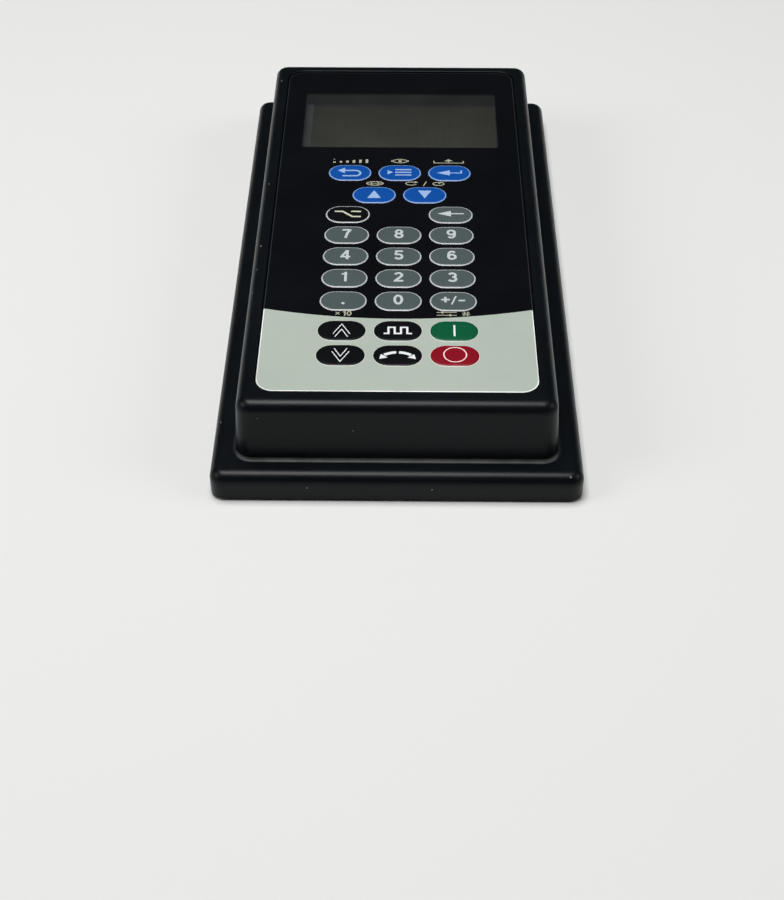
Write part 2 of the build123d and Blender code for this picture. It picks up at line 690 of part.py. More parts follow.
# Socket shield: a metal sleeve that lines the bore
with BuildPart() as socket_shield:
    with BuildSketch(Plane.XY.offset(socket_face_z)):
        with Locations((socket_x, socket_y)):
            Circle(shield_radius)
            Circle(shield_radius - shield_wall, mode=Mode.SUBTRACT)
    extrude(amount=socket_back_z - socket_base - socket_face_z)
socket_shield.part.label = "socket_shield"
export_step(socket_shield.part, "parts/socket_shield.step")

# Socket contacts: sleeves in the core, with tails down to the board
contact_face_z = socket_face_z + socket_core_sink + contact_sink
with BuildPart() as socket_contacts:
    with BuildSketch(Plane.XY.offset(contact_face_z)):
        with Locations(*contact_places):
            Circle(contact_radius)
    extrude(amount=socket_back_z - contact_face_z)
    with BuildSketch(Plane.XY.offset(socket_back_z)):
        with Locations(*contact_places):
            Circle(contact_tail_radius)
    extrude(amount=socket_foot)
    with BuildSketch(Plane.XY.offset(contact_face_z)):
        with Locations(*contact_places):
            Circle(contact_bore_radius)
    extrude(amount=contact_bore_depth, mode=Mode.SUBTRACT)
socket_contacts.part.label = "socket_contacts"
export_step(socket_contacts.part, "parts/socket_contacts.step")

# Back plate, open at the panel bosses, with a collar down to the socket and two ribs inside
with BuildPart() as back_plate:
    with BuildSketch(Plane.XY.offset(plate_outer_z)):
        RectangleRounded(plate_width, plate_length, plate_corner_radius)
        with GridLocations(panel_hole_pitch_x, panel_hole_pitch_y, 2, 2):
            Circle(panel_boss_radius + plate_clearance, mode=Mode.SUBTRACT)
    extrude(amount=plate_thickness)
    with BuildSketch(Plane.XY.offset(plate_inner_z)):
        with GridLocations(board_width - 2 * plate_rib_side_inset, 0, 2, 1):
            Rectangle(rib_width, board_length - 2 * plate_rib_end_inset)
    extrude(amount=plate_rib_height)
    with BuildSketch(Plane.XY.offset(plate_inner_z)):
        with Locations((socket_x, socket_y)):
            Circle(recess_radius + recess_wall)
    extrude(amount=socket_face_z - plate_clearance - plate_inner_z)
    with BuildSketch(Plane.XY.offset(plate_outer_z)):
        with Locations((socket_x, socket_y)):
            Circle(recess_radius)
    extrude(amount=recess_depth, mode=Mode.SUBTRACT)
    with Locations(*[Location((x, y, plate_outer_z), (180, 0, 0)) for x, y in plate_screw_places]):
        CounterSinkHole(screw_radius + screw_hole_clearance, plate_screw_head_radius + thread_clearance)
back_plate.part.label = "back_plate"
export_step(back_plate.part, "parts/back_plate.step")

# Countersunk screws that hold the back plate
with BuildPart() as plate_screws:
    with BuildSketch(Plane.XY.offset(plate_outer_z)):
        with Locations(*plate_screw_places):
            Circle(screw_radius)
    extrude(amount=plate_screw_length)
    with Locations(*[(x, y, plate_outer_z) for x, y in plate_screw_places]):
        Cone(plate_screw_head_radius, screw_radius, plate_screw_head_radius - screw_radius,
             align=(Align.CENTER, Align.CENTER, Align.MIN))
plate_screws.part.label = "plate_screws"
export_step(plate_screws.part, "parts/plate_screws.step")
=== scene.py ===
"""Panel-mount drive keypad, dressed to match its photograph: a black moulded housing with a printed membrane
face, 25 sprung key fields, a display window, and a sealed back with threaded inserts and a cable socket."""
import json
from math import atan2, cos, hypot, pi, radians, sin

import bpy
from mathutils import Matrix, Vector
from mathutils.geometry import delaunay_2d_cdt

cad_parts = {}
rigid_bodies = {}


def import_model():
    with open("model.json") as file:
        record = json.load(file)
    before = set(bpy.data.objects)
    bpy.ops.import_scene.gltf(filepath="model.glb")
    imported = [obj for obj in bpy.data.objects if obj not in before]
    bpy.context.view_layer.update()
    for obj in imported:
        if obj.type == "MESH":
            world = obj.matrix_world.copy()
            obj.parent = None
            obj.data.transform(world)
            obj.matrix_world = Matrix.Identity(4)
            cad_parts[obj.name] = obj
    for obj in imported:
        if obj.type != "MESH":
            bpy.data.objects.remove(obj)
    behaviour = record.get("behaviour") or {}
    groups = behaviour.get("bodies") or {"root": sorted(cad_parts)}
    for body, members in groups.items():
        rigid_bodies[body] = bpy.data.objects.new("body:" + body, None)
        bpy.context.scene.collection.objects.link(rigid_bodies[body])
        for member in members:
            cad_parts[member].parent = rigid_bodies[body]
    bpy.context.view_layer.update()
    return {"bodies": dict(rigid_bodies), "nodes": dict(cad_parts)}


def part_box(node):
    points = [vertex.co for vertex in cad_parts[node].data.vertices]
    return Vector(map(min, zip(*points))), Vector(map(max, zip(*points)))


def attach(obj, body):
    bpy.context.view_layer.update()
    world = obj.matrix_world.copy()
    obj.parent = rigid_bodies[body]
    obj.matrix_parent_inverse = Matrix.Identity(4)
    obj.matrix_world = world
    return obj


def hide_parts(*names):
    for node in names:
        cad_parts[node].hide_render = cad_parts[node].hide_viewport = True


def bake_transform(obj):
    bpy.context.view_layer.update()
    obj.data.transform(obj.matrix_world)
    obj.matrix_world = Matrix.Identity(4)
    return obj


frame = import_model()
mm = 0.001

# Front housing: one moulding of black ABS with a fine spark-eroded skin, drafted and filleted.
# Its solid has the right form, so only the skin is made here: grain, a faint unevenness, a little dust and a painted
# highlight along the body's foot.
housing_colour = (0.0022, 0.0034, 0.0047, 1)
dust_colour = (0.32, 0.31, 0.29, 1)
speck_radius = 0.055


def shader_group(name, inputs, outputs):
    """A node group with number inputs, and the two nodes that stand for its inputs and its outputs."""
    tree = bpy.data.node_groups.new(name, "ShaderNodeTree")
    for label, value in inputs.items():
        socket = tree.interface.new_socket(label, in_out="INPUT", socket_type="NodeSocketFloat")
        socket.default_value = value
    for label in outputs:
        tree.interface.new_socket(label, in_out="OUTPUT", socket_type="NodeSocketFloat")
    return tree, tree.nodes.new("NodeGroupInput"), tree.nodes.new("NodeGroupOutput")


def fill(tree, socket, value):
    """Gives an input a plain value, or links it to another node's output."""
    if isinstance(value, bpy.types.NodeSocket):
        tree.links.new(value, socket)
    else:
        socket.default_value = value


def add_node(tree, kind, *inputs, **values):
    """A new node: the values set its options and fill its inputs by name, and the inputs are filled in their order."""
    node = tree.nodes.new(kind)
    for label, value in values.items():
        if hasattr(node, label):
            setattr(node, label, value)
        else:
            fill(tree, node.inputs[label.replace("_", " ")], value)
    for socket, value in zip(node.inputs, inputs):
        fill(tree, socket, value)
    return node


def feed(tree, kind, *inputs, **values):
    """The first output of a new node, for the node that it feeds."""
    return add_node(tree, kind, *inputs, **values).outputs[0]


def object_place(tree):
    """The place on the piece, in the piece's own coordinates."""
    return add_node(tree, "ShaderNodeTexCoord").outputs["Object"]


def mixed(tree, share, colour, other, **options):
    """The first colour with the given share of the other one over it."""
    node = add_node(tree, "ShaderNodeMix", data_type="RGBA", **options)
    # A mix node's colours are its inputs 6 and 7 and its output 2
    for socket, value in zip((node.inputs["Factor"], node.inputs[6], node.inputs[7]), (share, colour, other)):
        fill(tree, socket, value)
    return node.outputs[2]


def recolour(material, share, colour, **options):
    """Lays a share of a colour over what the material shows."""
    tree = material.node_tree
    base = tree.nodes["Principled BSDF"].inputs["Base Color"]
    fill(tree, base, mixed(tree, share, base.links[0].from_socket, colour, **options))


# Skin of moulded plastic: Height for the grain, Tone for the unevenness of the surface
skin_group, skin_in, skin_out = shader_group("moulded_skin", {"Grain scale": 5200.0}, ("Height", "Tone"))
skin_place = object_place(skin_group)
skin_scale = skin_in.outputs["Grain scale"]
skin_grain = feed(skin_group, "ShaderNodeTexNoise", skin_place, Scale=skin_scale, Detail=3.0, Roughness=0.6)
skin_cells = feed(skin_group, "ShaderNodeTexVoronoi", skin_place, Scale=skin_scale)
skin_cloud = feed(skin_group, "ShaderNodeTexNoise", skin_place, Scale=45.0, Detail=5.0, Roughness=0.65)
cell_share = 0.5
fill(skin_group, skin_out.inputs["Height"],
     feed(skin_group, "ShaderNodeMath", skin_cells, cell_share, skin_grain, operation="MULTIPLY_ADD"))
fill(skin_group, skin_out.inputs["Tone"], skin_cloud)

# Dust: a Mask of small scattered specks, most of them left out at random, and none where Amount is 0
dust_group, dust_in, dust_out = shader_group("dust", {"Amount": 0.5, "Scale": 260.0}, ("Mask",))
dust_cells = add_node(dust_group, "ShaderNodeTexVoronoi", object_place(dust_group), Scale=dust_in.outputs["Scale"])
dust_size = feed(dust_group, "ShaderNodeMath", dust_cells.outputs["Distance"], speck_radius, operation="LESS_THAN")
dust_pick = feed(dust_group, "ShaderNodeSeparateColor", dust_cells.outputs["Color"])
dust_chance = feed(dust_group, "ShaderNodeMath", dust_pick, dust_in.outputs["Amount"], operation="LESS_THAN")
fill(dust_group, dust_out.inputs["Mask"],
     feed(dust_group, "ShaderNodeMath", dust_size, dust_chance, operation="MULTIPLY"))


def skinned(name, colour, rough, grain=5200.0, depth=0.02, tone=0.25, metallic=0.0, gloss=0.5, dust=0.0):
    """A material with the moulded skin: rough is its lowest and highest roughness, depth its grain in mm."""
    material = bpy.data.materials.new(name)
    material.use_nodes = True
    tree = material.node_tree
    skin = add_node(tree, "ShaderNodeGroup", node_tree=skin_group, Grain_scale=grain)
    patchy = skin.outputs["Tone"]
    shade = feed(tree, "ShaderNodeMapRange", patchy, From_Min=0.3, From_Max=0.7, To_Min=1 - tone, To_Max=1 + tone)
    shown = mixed(tree, 1.0, colour, shade, blend_type="MULTIPLY")
    if dust:
        specks = add_node(tree, "ShaderNodeGroup", node_tree=dust_group, Amount=dust)
        shown = mixed(tree, specks.outputs["Mask"], shown, dust_colour)
    finish = {
        "Base Color": shown, "Metallic": metallic, "Specular IOR Level": gloss,
        "Roughness": feed(tree, "ShaderNodeMapRange", patchy, To_Min=rough[0], To_Max=rough[1]),
        "Normal": feed(tree, "ShaderNodeBump", Distance=depth * mm, Height=skin.outputs["Height"])}
    for label, value in finish.items():
        fill(tree, tree.nodes["Principled BSDF"].inputs[label], value)
    return material


def dress(node_name, material):
    """Gives a carried-over node its finished material."""
    for place in frame["nodes"][node_name].material_slots:
        place.material = material


housing_plastic = skinned("housing_plastic", housing_colour, (0.27, 0.38), depth=0.018, gloss=0.16, dust=0.3)
# A painted highlight: a pale line painted into the fillet round the body's foot, where the fillet catches the light,
# strongest at the two ends. It shows where a point is both near the body's outline and near the flange's face.
foot_half_width = 40.4 * mm
foot_half_length = 83.7 * mm
foot_corner = 4.5 * mm
foot_height = 8.0 * mm
foot_fillet = 0.8 * mm
foot_highlight_colour = (0.085, 0.087, 0.085, 1)
foot_from = 1.2 * foot_fillet
foot_full = 0.6 * foot_fillet
foot_below_from = 0.2 * foot_fillet
foot_below_full = 0.05 * foot_fillet
foot_patches = (0.3, 0.6, 0.55)
foot_side_strength = 0.2
foot = housing_plastic.node_tree
foot_place = object_place(foot)
foot_flat = feed(foot, "ShaderNodeVectorMath", foot_place, (1, 1, 0), operation="MULTIPLY")
foot_side = feed(foot, "ShaderNodeVectorMath", foot_flat, operation="ABSOLUTE")
foot_middles = (foot_half_width - foot_corner, foot_half_length - foot_corner, 0)
foot_past = feed(foot, "ShaderNodeVectorMath", foot_side, foot_middles, operation="SUBTRACT")
foot_clip = feed(foot, "ShaderNodeVectorMath", foot_past, operation="MAXIMUM")
foot_reach = add_node(foot, "ShaderNodeVectorMath", foot_clip, operation="LENGTH").outputs["Value"]
foot_rise = add_node(foot, "ShaderNodeSeparateXYZ", foot_place).outputs["Z"]
foot_cloud = feed(foot, "ShaderNodeTexNoise", foot_place, Scale=160.0, Detail=3.0)
foot_across = feed(foot, "ShaderNodeSeparateXYZ", foot_side)
foot_highlight_mask = feed(foot, "ShaderNodeMapRange", foot_reach, foot_corner + foot_from, foot_corner + foot_full)
for seen_at, *limits in ((foot_rise, foot_height + foot_from, foot_height + foot_full),
                         (foot_rise, foot_height - foot_below_from, foot_height - foot_below_full),
                         (foot_cloud, *foot_patches),
                         (foot_across, foot_half_width - foot_fillet, foot_half_width, 1.0, foot_side_strength)):
    foot_highlight_mask = feed(foot, "ShaderNodeMath", foot_highlight_mask, feed(foot, "ShaderNodeMapRange", seen_at, *limits),
                     operation="MULTIPLY")
# Lays the painted highlight over the housing's colour
recolour(housing_plastic, foot_highlight_mask, foot_highlight_colour)
dress("front_housing", housing_plastic)

# Back plate: moulded in the same black plastic, coarser in grain, with a recess down to the cable socket.
# It lies 0.2 mm below the rim, inside the four corner bosses.
dress("back_plate", skinned("plate_plastic", (0.0052, 0.0054, 0.006, 1), (0.36, 0.5), grain=3600.0, depth=0.03,
                            gloss=0.25))

# Panel gasket: one ring of soft black rubber, pressed into its groove, with two rounded lips on its face.
# A profile is carried round the groove's rounded rectangle.
gasket_low, gasket_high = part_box("panel_gasket")
gasket_width = 3.0 * mm
gasket_corner = 1.6 * mm
lip_depth = 0.25 * mm
lip_steps = 12
corner_points = 10


def placed(name, data):
    """A new object of the scene."""
    piece = bpy.data.objects.new(name, data)
    bpy.context.scene.collection.objects.link(piece)
    return piece


def geometry_tree(name, sizes, counts=()):
    """A geometry node group, its input and output nodes, and the identifiers of its inputs by name."""
    tree = bpy.data.node_groups.new(name, "GeometryNodeTree")
    tree.interface.new_socket("Geometry", in_out="INPUT", socket_type="NodeSocketGeometry")
    names = {}
    for label in sizes + counts:
        kind = "NodeSocketInt" if label in counts else "NodeSocketFloat"
        names[label] = tree.interface.new_socket(label, in_out="INPUT", socket_type=kind).identifier
    tree.interface.new_socket("Geometry", in_out="OUTPUT", socket_type="NodeSocketGeometry")
    return tree, tree.nodes.new("NodeGroupInput").outputs, tree.nodes.new("NodeGroupOutput").inputs, names


def finished(tree, end, geometry, material):
    """Ends a tree: its instances become one real mesh in the material."""
    real = feed(tree, "GeometryNodeRealizeInstances", geometry)
    fill(tree, end["Geometry"], feed(tree, "GeometryNodeSetMaterial", real, Material=material))


def grown(name, points, edges, tree, values):
    """A plain mesh of the given points and edges, as the tree grows it, with no modifier left on it."""
    mesh = bpy.data.meshes.new(name)
    mesh.from_pydata(points, edges, [])
    piece = placed(name, mesh)
    modifier = piece.modifiers.new("growth", "NODES")
    modifier.node_group = tree
    for identifier, value in values.items():
        modifier[identifier] = value
    evaluated = piece.evaluated_get(bpy.context.evaluated_depsgraph_get())
    piece.data = bpy.data.meshes.new_from_object(evaluated)
    piece.modifiers.clear()
    return piece


gasket_rubber = skinned("gasket_rubber", (0.012, 0.012, 0.012, 1), (0.6, 0.8), grain=2500.0, depth=0.02)
tree, start, end, sockets = geometry_tree("gasket_ring", ("Width", "Length", "Corner"))
groove = feed(tree, "GeometryNodeCurvePrimitiveQuadrilateral", Width=start["Width"], Height=start["Length"])
path = feed(tree, "GeometryNodeFilletCurve", mode="POLY", Curve=groove, Count=corner_points, Radius=start["Corner"])
profile = feed(tree, "GeometryNodeMeshToCurve", start["Geometry"])
finished(tree, end, feed(tree, "GeometryNodeCurveToMesh", path, Profile_Curve=profile), gasket_rubber)
gasket_height = gasket_high.z - gasket_low.z
gasket_profile = [(-gasket_width / 2, -gasket_height, 0), (gasket_width / 2, -gasket_height, 0)]
for step in range(2 * lip_steps + 1):
    across = gasket_width * (0.5 - step / (2 * lip_steps))
    gasket_profile.append((across, -lip_depth * (1 - abs(sin(2 * pi * step / (2 * lip_steps)))), 0))
ring_edges = [(i, (i + 1) % len(gasket_profile)) for i in range(len(gasket_profile))]
gasket = grown("gasket_ring", gasket_profile, ring_edges, tree, {
    sockets["Width"]: gasket_high.x - gasket_low.x - gasket_width,
    sockets["Length"]: gasket_high.y - gasket_low.y - gasket_width,
    sockets["Corner"]: gasket_corner})
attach(gasket, "housing")
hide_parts("panel_gasket")

# Membrane face: a polyester film printed black from behind, semi-gloss, with a silver-grey field round the
# six drive keys. Each key and the window is a hole here: the keys' own fields fill them.
film_low, film_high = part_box("overlay")
film_top = film_high.z / mm
film_under = film_low.z / mm
face_width = (film_high.x - film_low.x) / mm
face_length = (film_high.y - film_low.y) / mm
face_y = (film_high.y + film_low.y) / 2 / mm
face_corner = 4.5
window_width = 58.3
window_length = 30.75
window_corner = 1.0
lens_low, lens_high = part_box("display_lens")
window_y = (lens_low.y + lens_high.y) / 2 / mm
print_depth = 0.012
silver_corner_y = -43.9
silver_dip_y = -47.9
key_names = [body for body in frame["bodies"] if body.startswith("key_")]
key_places = {name: ((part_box(name)[0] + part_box(name)[1]) / 2 / mm).to_2d() for name in key_names}
key_size = (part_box("key_0")[1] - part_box("key_0")[0]) / mm
key_gap = 0.15
inside_only = 1
weld = 1e-6
mitre_limit = 0.35


def arc(x, y, radius_x, radius_y, first, last, steps=16):
    """Points along part of an ellipse, from the first angle to the last in degrees."""
    turns = [radians(first + (last - first) * step / steps) for step in range(steps + 1)]
    return [(x + radius_x * cos(turn), y + radius_y * sin(turn)) for turn in turns]


def rounded(x, y, width, length, corner, steps=10):
    """A rectangle with rounded corners, anticlockwise from its right side."""
    points = []
    for quarter, (side, end) in enumerate(((1, 1), (-1, 1), (-1, -1), (1, -1))):
        points += arc(x + side * (width / 2 - corner), y + end * (length / 2 - corner),
                      corner, corner, 90 * quarter, 90 * quarter + 90, steps)
    return points


def pill(x, y, length, width, steps=24):
    """A key's outline: two half circles joined by straight sides."""
    reach = (length - width) / 2
    return arc(x + reach, y, width / 2, width / 2, -90, 90, steps) \
        + arc(x - reach, y, width / 2, width / 2, 90, 270, steps)


def film(name, outlines, holes, low, high, materials):
    """A flat closed film, in millimetres: inside any of the outlines and outside every hole."""
    corners, faces = [], []
    for loop in outlines + holes:
        turn = sum(a[0] * b[1] - b[0] * a[1] for a, b in zip(loop, loop[1:] + loop[:1]))
        faces.append(list(range(len(corners), len(corners) + len(loop))))
        corners += [Vector(point) for point in (loop if turn > 0 else loop[::-1])]
    flat, _, triangles, _, _, origins = delaunay_2d_cdt(corners, [], faces, inside_only, weld)
    kept = [list(t) for t, o in zip(triangles, origins) if o and all(i < len(outlines) for i in o)]
    used = sorted({i for t in kept for i in t})
    place = {old: new for new, old in enumerate(used)}
    kept = [[place[i] for i in t] for t in kept]
    count = len(used)
    vertices = [(flat[i].x * mm, flat[i].y * mm, high * mm) for i in used]
    vertices += [(flat[i].x * mm, flat[i].y * mm, low * mm) for i in used]
    sides = {side for a, b, c in kept for side in ((a, b), (b, c), (c, a))}
    shell = kept + [[i + count for i in reversed(t)] for t in kept]
    shell += [[a, a + count, b + count, b] for a, b in sorted(sides) if (b, a) not in sides]
    mesh = bpy.data.meshes.new(name)
    mesh.from_pydata(vertices, [], shell)
    for material in materials:
        mesh.materials.append(material)
    return placed(name, mesh)


def stroke(points, width, closed=False):
    """A line of even width through the points, as four-cornered outlines with mitred corners."""
    meets = hypot(points[0][0] - points[-1][0], points[0][1] - points[-1][1]) < weld
    loop = points[:-1] if closed and meets else points
    count = len(loop)
    sides = []
    for i, (x, y) in enumerate(loop):
        before = loop[i - 1] if closed or i else loop[i]
        after = loop[(i + 1) % count] if closed or i < count - 1 else loop[i]
        into = atan2(y - before[1], x - before[0]) if before != loop[i] else None
        out = atan2(after[1] - y, after[0] - x) if after != loop[i] else None
        into = out if into is None else into
        out = into if out is None else out
        half_turn = (out - into + pi) % (2 * pi) - pi
        middle = into + half_turn / 2 + pi / 2
        reach = width / 2 / max(mitre_limit, cos(half_turn / 2))
        sides.append(((x + reach * cos(middle), y + reach * sin(middle)),
                      (x - reach * cos(middle), y - reach * sin(middle))))
    pairs = zip(sides, sides[1:] + sides[:1]) if closed else zip(sides, sides[1:])
    return [[a[0], a[1], b[1], b[0]] for a, b in pairs]


film_black = skinned("film_black", (0.0024, 0.0026, 0.0038, 1), (0.2, 0.3), grain=2600.0, depth=0.002, gloss=0.2,
                     dust=0.1)
silver_print = skinned("silver_print", (0.39, 0.44, 0.385, 1), (0.3, 0.42), grain=5200.0, depth=0.006, tone=0.03,
                       gloss=0.4)
key_holes = [pill(*key_places[name], key_size.x + 2 * key_gap, key_size.y + 2 * key_gap) for name in key_names]
window_hole = rounded(0, window_y, window_width, window_length, window_corner)
face_outline = rounded(0, face_y, face_width, face_length, face_corner)
face = film("membrane_face", [face_outline], key_holes + [window_hole], film_under, film_top - print_depth / 2,
            [film_black])
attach(face, "housing")
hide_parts("overlay")
# The film's cut edge is unprinted and a little rough, so it shows as a fine line
edge_width = 0.2
edge_hole = rounded(0, face_y, face_width - 2 * edge_width, face_length - 2 * edge_width, face_corner - edge_width)
edge = film("face_edge", [face_outline], [edge_hole], film_top - print_depth, film_top - print_depth / 4,
            [skinned("film_edge", (0.008, 0.008, 0.01, 1), (0.45, 0.6), grain=2600.0, depth=0.01)])
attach(edge, "housing")
# The silver field has a top edge that sags between its corners, and the film's own rounded lower corners
silver_inset = 0.05
silver_reach = face_width / 2 - silver_inset
silver_end = face_y - face_length / 2 + silver_inset
sag_steps = 24
silver_outline = [(silver_reach * (1 - 2 * step / sag_steps),
                   silver_dip_y + (silver_corner_y - silver_dip_y) * (1 - 2 * step / sag_steps) ** 2)
                  for step in range(sag_steps + 1)]
silver_outline += arc(-silver_reach + face_corner, silver_end + face_corner, face_corner, face_corner, 180, 270)
silver_outline += arc(silver_reach - face_corner, silver_end + face_corner, face_corner, face_corner, 270, 360)
silver = film("silver_field", [silver_outline], key_holes, film_top - print_depth, film_top, [silver_print])
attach(silver, "housing")
# Its cut edge is left bright: a fine pale line round the lower end, and a finer one up both sides
rim_width = 0.32
side_width = 0.2
rim_inset = silver_inset + rim_width / 2
rim_reach = face_width / 2 - rim_inset
rim_end = face_y - face_length / 2 + rim_inset
rim_corner = face_corner - rim_inset
rim_path = arc(-rim_reach + rim_corner, rim_end + rim_corner, rim_corner, rim_corner, 180, 270)
rim_path += arc(rim_reach - rim_corner, rim_end + rim_corner, rim_corner, rim_corner, 270, 360)
rim_strokes = stroke(rim_path, rim_width)
for side_x in (-silver_reach + side_width / 2, silver_reach - side_width / 2):
    rim_strokes += stroke([(side_x, silver_corner_y - rim_width), (side_x, rim_end + rim_corner - rim_width)],
                          side_width)
silver_edge = film("silver_edge", rim_strokes, [], film_top - print_depth, film_top + print_depth,
                   [skinned("silver_edge", (0.93, 0.95, 0.92, 1), (0.25, 0.4), grain=2600.0, depth=0.004)])
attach(silver_edge, "housing")

# Key fields: 25 pills embossed in the same film, raised a quarter of a millimetre, each printed with a pale outline
# round its colour.
# A field is a stack of rings, each with its inset from the key's outline and its rise above the film's face.
field_rings = [(-0.17, -0.002), (-0.08, 0.002), (0.0, 0.04), (0.12, 0.085), (0.24, 0.125), (0.36, 0.157),
               (0.6, 0.195), (0.9, 0.22), (1.4, 0.238), (2.4, 0.248), (3.6, 0.25)]
under_rings = [(3.6, 0.21), (1.2, 0.18), (0.5, 0.135), (0.1, 0.055), (-0.02, 0.026), (-0.17, -0.04)]
outline_from = 2
fill_from = 5
silver_fill_from = 2
field_steps = 28


def colour_finish(name, colour, rough=(0.24, 0.36), gloss=0.4, tone=0.05):
    """A printed ink under the film's clear face."""
    return skinned(name, colour, rough, grain=3000.0, depth=0.002, tone=tone, gloss=gloss)


ink_blue = colour_finish("ink_blue", (0.0018, 0.064, 0.31, 1))
ink_grey = colour_finish("ink_grey", (0.066, 0.086, 0.088, 1))
ink_green = colour_finish("ink_green", (0.0, 0.082, 0.03, 1))
ink_red = colour_finish("ink_red", (0.21, 0.0012, 0.009, 1))
ink_black = colour_finish("ink_black", (0.0028, 0.003, 0.004, 1), gloss=0.2)
line_pale = colour_finish("line_pale", (0.46, 0.475, 0.485, 1))
line_blue = colour_finish("line_blue", (0.2, 0.33, 0.62, 1))
line_silver = colour_finish("line_silver", (0.62, 0.66, 0.6, 1))
field_inks = {name: (film_black, line_pale, ink_grey) for name in key_names}
for name in ("key_escape", "key_select", "key_enter", "key_up", "key_down"):
    field_inks[name] = (film_black, line_blue, ink_blue)
field_inks["key_alternate"] = (film_black, line_pale, ink_black)
for name in ("key_faster", "key_jog", "key_slower", "key_reverse"):
    field_inks[name] = (silver_print, line_silver, ink_black)
field_inks["key_start"] = (silver_print, line_silver, ink_green)
field_inks["key_stop"] = (silver_print, line_silver, ink_red)
for name in key_names:
    x, y = key_places[name]
    rings = field_rings + under_rings
    vertices = []
    for inset, rise in rings:
        for point in pill(x, y, key_size.x - 2 * inset, key_size.y - 2 * inset, field_steps):
            vertices.append((point[0] * mm, point[1] * mm, (film_top + rise) * mm))
    count = len(vertices) // len(rings)
    faces, inks = [], []
    on_silver = field_inks[name][0] is silver_print
    line_first, fill_first = (0, silver_fill_from) if on_silver else (outline_from, fill_from)
    top_ring = len(field_rings) - 1
    for low in range(len(rings)):
        high = (low + 1) % len(rings)
        if low == top_ring:
            continue
        for i in range(count):
            j = (i + 1) % count
            faces.append((low * count + i, low * count + j, high * count + j, high * count + i))
            inks.append(0 if low < line_first or low > top_ring else 1 if low < fill_first else 2)
    crown = top_ring * count
    faces.append(tuple(range(crown, crown + count)))
    faces.append(tuple(reversed(range(crown + count, crown + 2 * count))))
    inks += [2, 0]
    mesh = bpy.data.meshes.new(name + "_field")
    mesh.from_pydata(vertices, [], faces)
    for material in field_inks[name]:
        mesh.materials.append(material)
    mesh.polygons.foreach_set("material_index", inks)
    mesh.polygons.foreach_set("use_smooth", [True] * len(faces))
    field = placed(name + "_field", mesh)
    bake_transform(field)
    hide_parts(name)

# Key legends: printed numbers and plain signs, each on its key's raised field. Words are replaced by signs.
# A sign is made of strokes, rings and solid shapes, in millimetres from the middle of the key.
legend_low = film_top + 0.246
legend_high = film_top + 0.258
digit_stroke = 0.72


def ring(x, y, radius_x, radius_y, width, steps=32):
    """A closed ring of even width."""
    return stroke(arc(x, y, radius_x, radius_y, 0, 360, steps), width, closed=True)


def moved(shapes, x, y):
    """The same outlines, moved."""
    return [[(point[0] + x, point[1] + y) for point in shape] for shape in shapes]


def turned(shapes):
    """The same outlines, turned by half a turn."""
    return [[(-point[0], -point[1]) for point in shape] for shape in shapes]


six = ring(0, -0.68, 0.93, 0.93, digit_stroke) \
    + stroke(arc(0.02, 0.0, 0.97, 1.62, 205, 42), digit_stroke)
digits = {
    "0": ring(0, 0, 0.93, 1.62, digit_stroke),
    "1": stroke([(0.3, 1.97), (0.3, -1.97)], digit_stroke) + stroke([(0.3, 1.45), (-0.75, 0.95)], 0.6),
    "2": stroke(arc(0, 0.78, 0.92, 0.84, 165, -25) + [(-0.72, -1.45)], digit_stroke)
    + stroke([(-1.25, -1.62), (1.28, -1.62)], digit_stroke),
    "3": stroke(arc(-0.05, 0.82, 0.84, 0.8, 160, -90), digit_stroke)
    + stroke(arc(-0.05, -0.78, 0.96, 0.84, 90, -160), digit_stroke),
    "4": stroke([(0.45, 1.97), (0.45, -1.97)], digit_stroke)
    + stroke([(0.3, 1.75), (-1.05, -0.72)], 0.62) + stroke([(-1.4, -0.86), (1.3, -0.86)], 0.66),
    "5": stroke([(1.15, 1.63), (-0.85, 1.63)], 0.68) + stroke([(-0.62, 1.9), (-0.86, -0.05)], 0.62)
    + stroke(arc(-0.02, -0.68, 0.95, 0.96, 128, -160), digit_stroke),
    "6": six,
    "7": stroke([(-1.25, 1.63), (1.2, 1.63)], 0.68) + stroke([(0.98, 1.6), (0.2, 0.3), (-0.3, -1.97)], digit_stroke),
    "8": ring(0, 0.86, 0.78, 0.76, 0.68) + ring(0, -0.76, 0.93, 0.86, 0.7),
    "9": turned(six),
}
head = [(-3.7, 0), (0.1, 1.35), (0.1, -1.35)]
digit_rise = 0.45
digit_tall = 1.06
legends = {"key_" + digit: [[(px, digit_tall * py + digit_rise) for px, py in shape] for shape in shapes]
           for digit, shapes in digits.items()}
